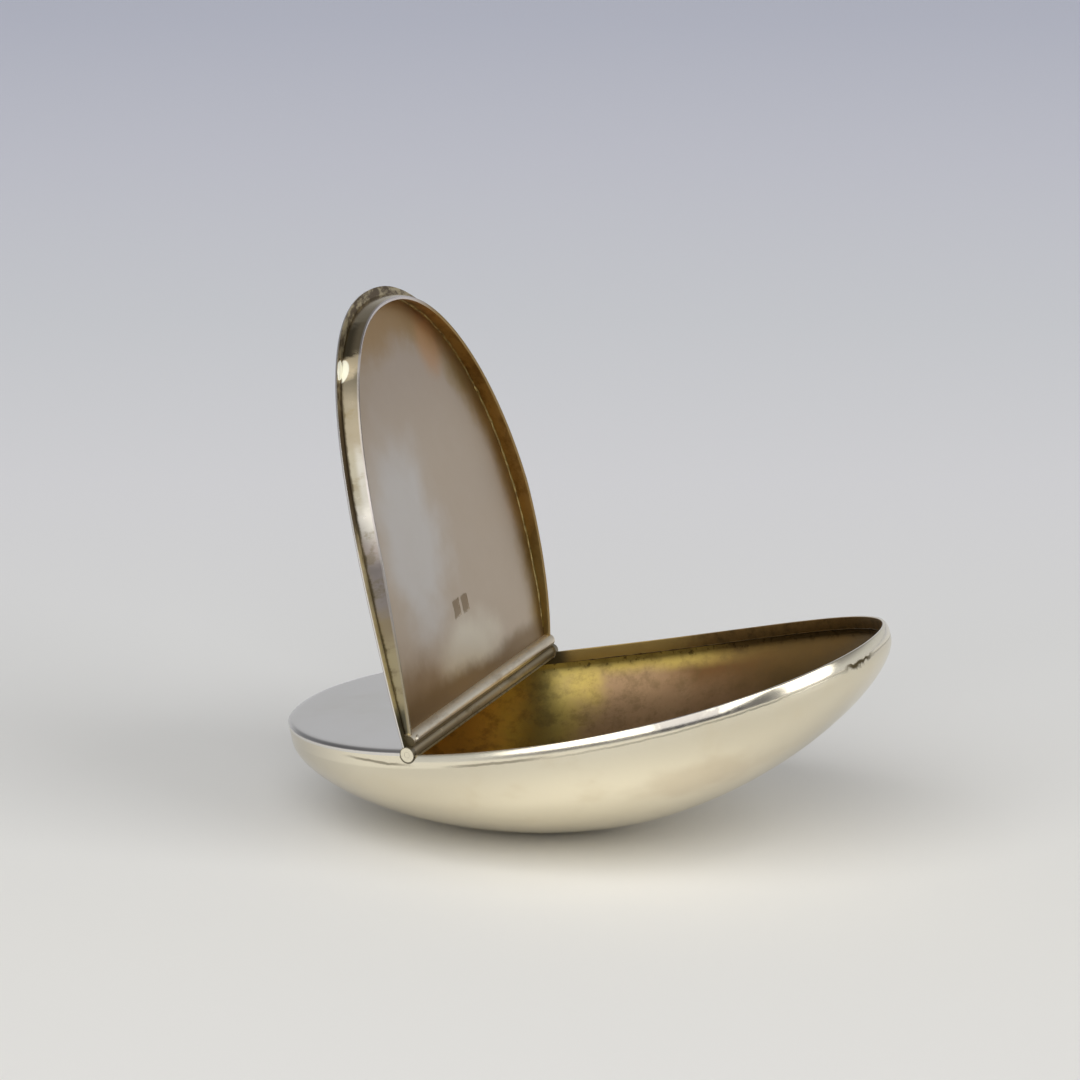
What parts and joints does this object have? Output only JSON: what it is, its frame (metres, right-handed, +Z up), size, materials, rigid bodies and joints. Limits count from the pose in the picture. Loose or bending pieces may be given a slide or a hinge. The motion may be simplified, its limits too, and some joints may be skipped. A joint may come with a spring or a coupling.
{
  "type": "snuff box",
  "caption": "Oval silver pocket box with a raised round bowl, a flush hinge across its dished top and a lid that swings open.",
  "frame": {"origin": "middle of the small worn flat on the underside, which the box rests on", "axes": "+X along the box towards its raised lid end, +Y across the box along the hinge, +Z up"},
  "size_m": [0.0737, 0.05, 0.0639],
  "materials": {
    "bowl_silver": "warm polished silver outside, worn gilding inside",
    "band_silver": "bright polished silver",
    "cover_silver": "smooth grey silver with fine scratches, the lid's inside faintly gilt",
    "bezel_silver": "silver with dark tarnish along its root",
    "joint_silver": "dull worn silver",
    "trough_gilt": "tarnished gilding",
    "pin_silver": "cut end of a silver wire"
  },
  "bodies": {
    "box": {"bowl": "bowl_silver", "rim_band": "band_silver", "fixed_top_plate": "cover_silver", "box_hinge_trough": "trough_gilt", "box_knuckle_near": "joint_silver", "box_knuckle_middle": "joint_silver", "box_knuckle_far": "joint_silver", "hinge_pin": "pin_silver"},
    "lid": {"lid_plate": "cover_silver", "lid_bezel": "bezel_silver", "lid_hinge_bearer": "joint_silver", "lid_knuckle_near": "joint_silver", "lid_knuckle_far": "joint_silver"}
  },
  "joints": [
    {"name": "lid_hinge", "type": "hinge", "parent": "box", "child": "lid", "pos_m": [-0.0068, 0, 0.01427], "axis": [0, 1, 0], "range_deg": [0, 90.7]}
  ]
}
